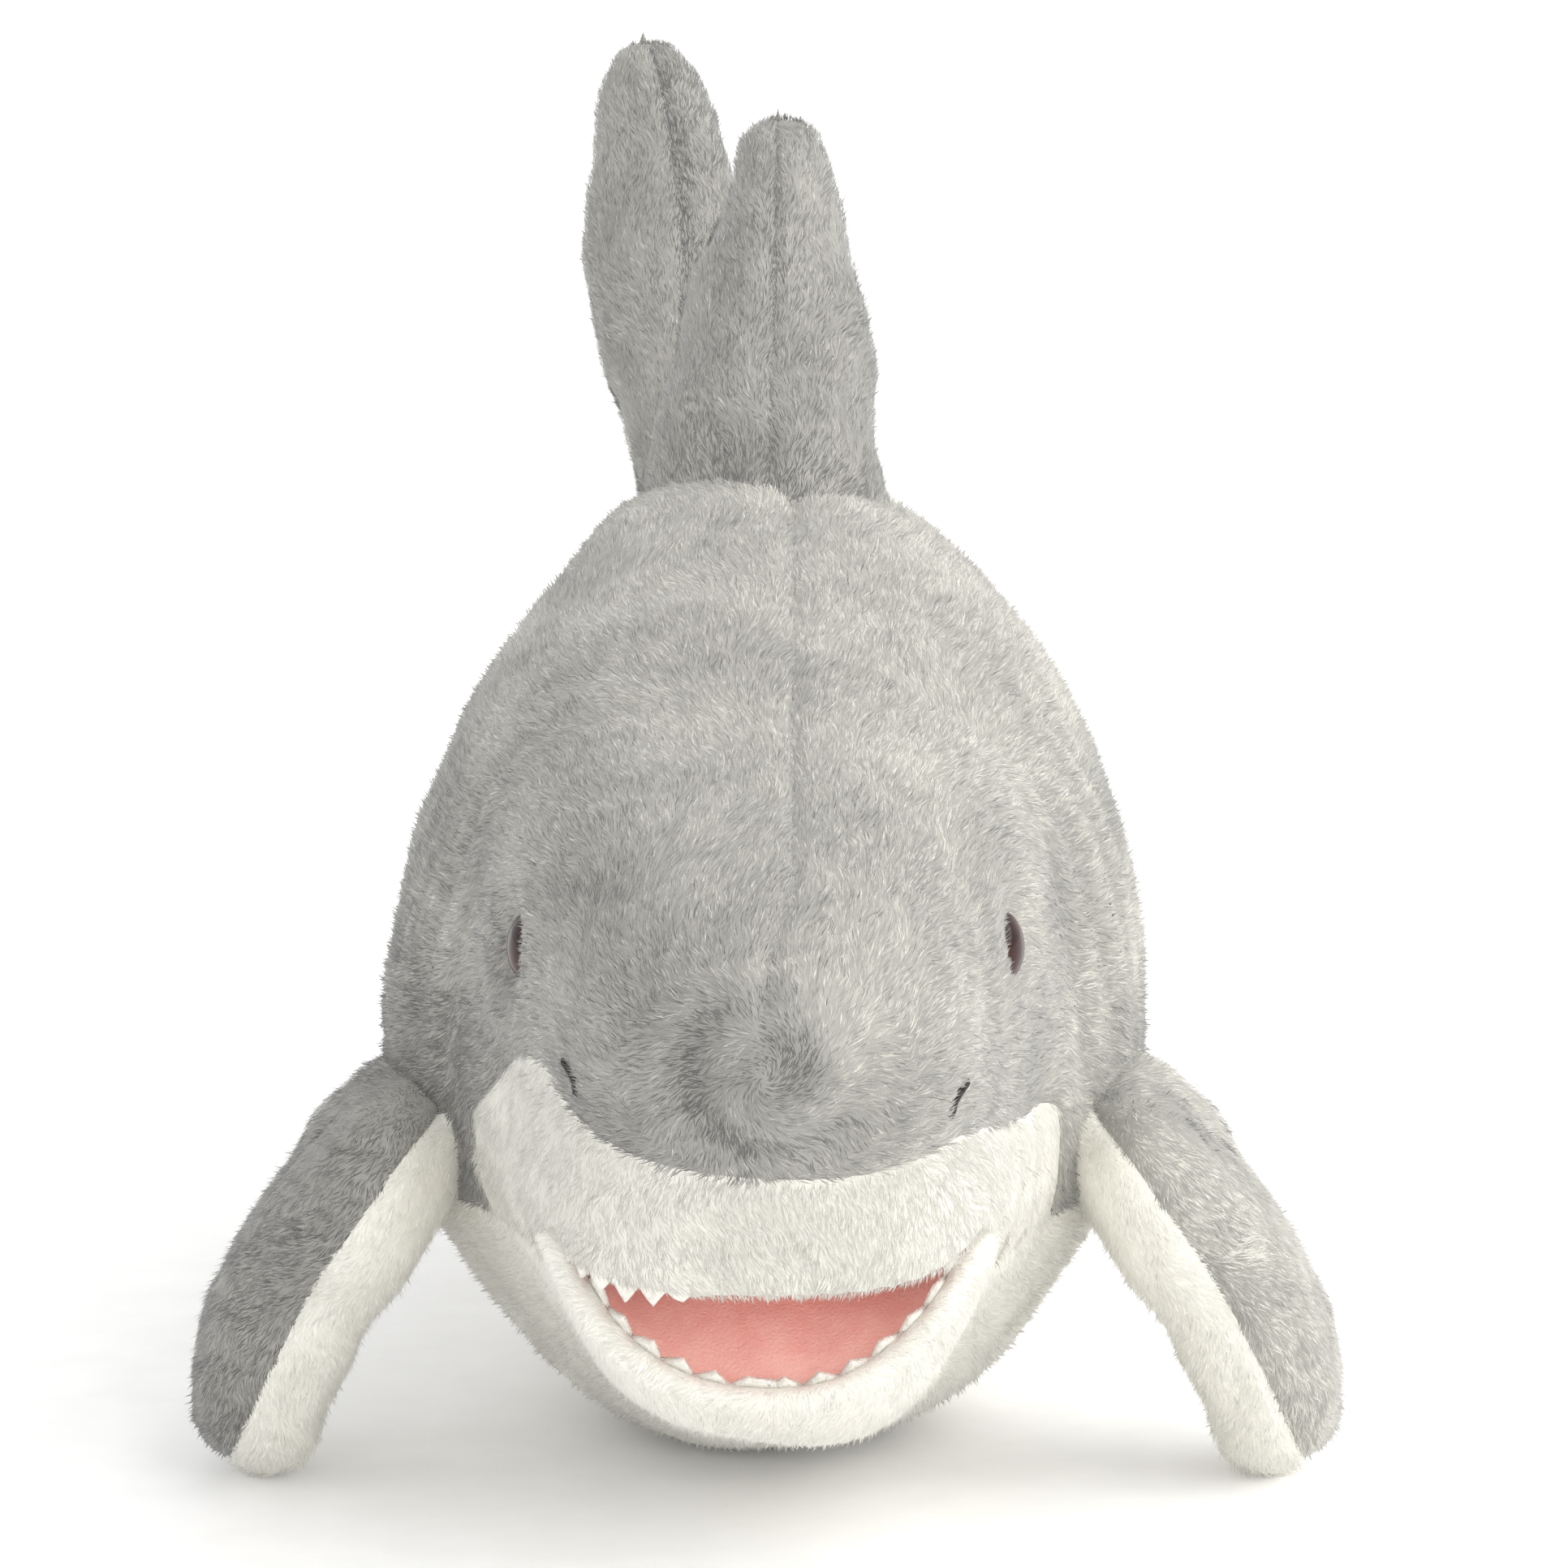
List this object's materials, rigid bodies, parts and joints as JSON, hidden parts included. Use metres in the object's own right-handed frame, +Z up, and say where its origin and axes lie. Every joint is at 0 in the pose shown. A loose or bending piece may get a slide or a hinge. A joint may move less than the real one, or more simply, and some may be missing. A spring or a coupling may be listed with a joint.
{
  "type": "plush shark",
  "caption": "Sewn plush shark resting on its belly, mouth open, with sprung soft jaw, dorsal, pectoral and tail fins.",
  "frame": {"origin": "centre of the bounding box at the floor, under the belly", "axes": "-Y towards the nose, +Y towards the tail, +X the left side of the shark, +Z up"},
  "size_m": [0.2012, 0.3856, 0.2299],
  "materials": {
    "grey_plush": "short dense pile, brushed",
    "white_plush": "short dense pile",
    "polyester_filling": "loose fibre",
    "pink_cloth": "smooth brushed knit",
    "white_felt": "felt",
    "eye_plastic": "polished",
    "washer_plastic": "moulded",
    "dark_thread": "embroidery thread",
    "grey_thread": "embroidery thread",
    "white_thread": "sewing thread"
  },
  "bodies": {
    "torso": {"back_panel_left": "grey_plush", "back_panel_right": "grey_plush", "muzzle_panel": "white_plush", "belly_panel": "white_plush", "body_filling": "polyester_filling", "palate_lining": "pink_cloth", "upper_teeth": "white_felt", "eye_left": "eye_plastic", "eye_right": "eye_plastic", "eye_washer_left": "washer_plastic", "eye_washer_right": "washer_plastic", "nostril_stitch_left": "dark_thread", "nostril_stitch_right": "dark_thread", "gill_stitch_left_1": "grey_thread", "gill_stitch_left_2": "grey_thread", "gill_stitch_left_3": "grey_thread", "gill_stitch_left_4": "grey_thread", "gill_stitch_right_1": "grey_thread", "gill_stitch_right_2": "grey_thread", "gill_stitch_right_3": "grey_thread", "gill_stitch_right_4": "grey_thread"},
    "jaw": {"lower_jaw_panel": "white_plush", "jaw_filling": "polyester_filling", "tongue_lining": "pink_cloth", "lower_teeth": "white_felt"},
    "dorsal_fin": {"dorsal_left_panel": "grey_plush", "dorsal_right_panel": "grey_plush", "dorsal_filling": "polyester_filling"},
    "pectoral_fin_left": {"pectoral_left_top_panel": "grey_plush", "pectoral_left_under_panel": "white_plush", "pectoral_left_filling": "polyester_filling"},
    "pectoral_fin_right": {"pectoral_right_top_panel": "grey_plush", "pectoral_right_under_panel": "white_plush", "pectoral_right_filling": "polyester_filling"},
    "tail": {"tail_panel_left": "grey_plush", "tail_panel_right": "grey_plush", "tail_belly_panel": "white_plush", "tail_filling": "polyester_filling", "closing_stitch": "white_thread"},
    "caudal_fin": {"caudal_left_panel": "grey_plush", "caudal_right_panel": "grey_plush", "caudal_filling": "polyester_filling"}
  },
  "joints": [
    {"name": "jaw_open", "type": "hinge", "parent": "torso", "child": "jaw", "pos_m": [0, -0.1323, 0.051], "axis": [1, 0, 0], "range_deg": [-5, 8], "stiffness_Nm_per_rad": 0.3},
    {"name": "dorsal_flop", "type": "hinge", "parent": "torso", "child": "dorsal_fin", "pos_m": [0, -0.0103, 0.155], "axis": [0, 1, 0], "range_deg": [-15, 15], "stiffness_Nm_per_rad": 0.2},
    {"name": "pectoral_left_lift", "type": "hinge", "parent": "torso", "child": "pectoral_fin_left", "pos_m": [0.06, -0.0843, 0.06], "axis": [0, -1, 0], "range_deg": [-10, 30], "stiffness_Nm_per_rad": 0.2},
    {"name": "pectoral_right_lift", "type": "hinge", "parent": "torso", "child": "pectoral_fin_right", "pos_m": [-0.06, -0.0843, 0.06], "axis": [0, 1, 0], "range_deg": [-10, 30], "stiffness_Nm_per_rad": 0.2},
    {"name": "tail_swing", "type": "hinge", "parent": "torso", "child": "tail", "pos_m": [-0.00376, 0.0697, 0.08], "axis": [0, 0, 1], "range_deg": [-20, 20], "stiffness_Nm_per_rad": 0.5},
    {"name": "caudal_swing", "type": "hinge", "parent": "tail", "child": "caudal_fin", "pos_m": [-0.0163, 0.1477, 0.087], "axis": [0, 0, 1], "range_deg": [-15, 15], "stiffness_Nm_per_rad": 0.25}
  ]
}
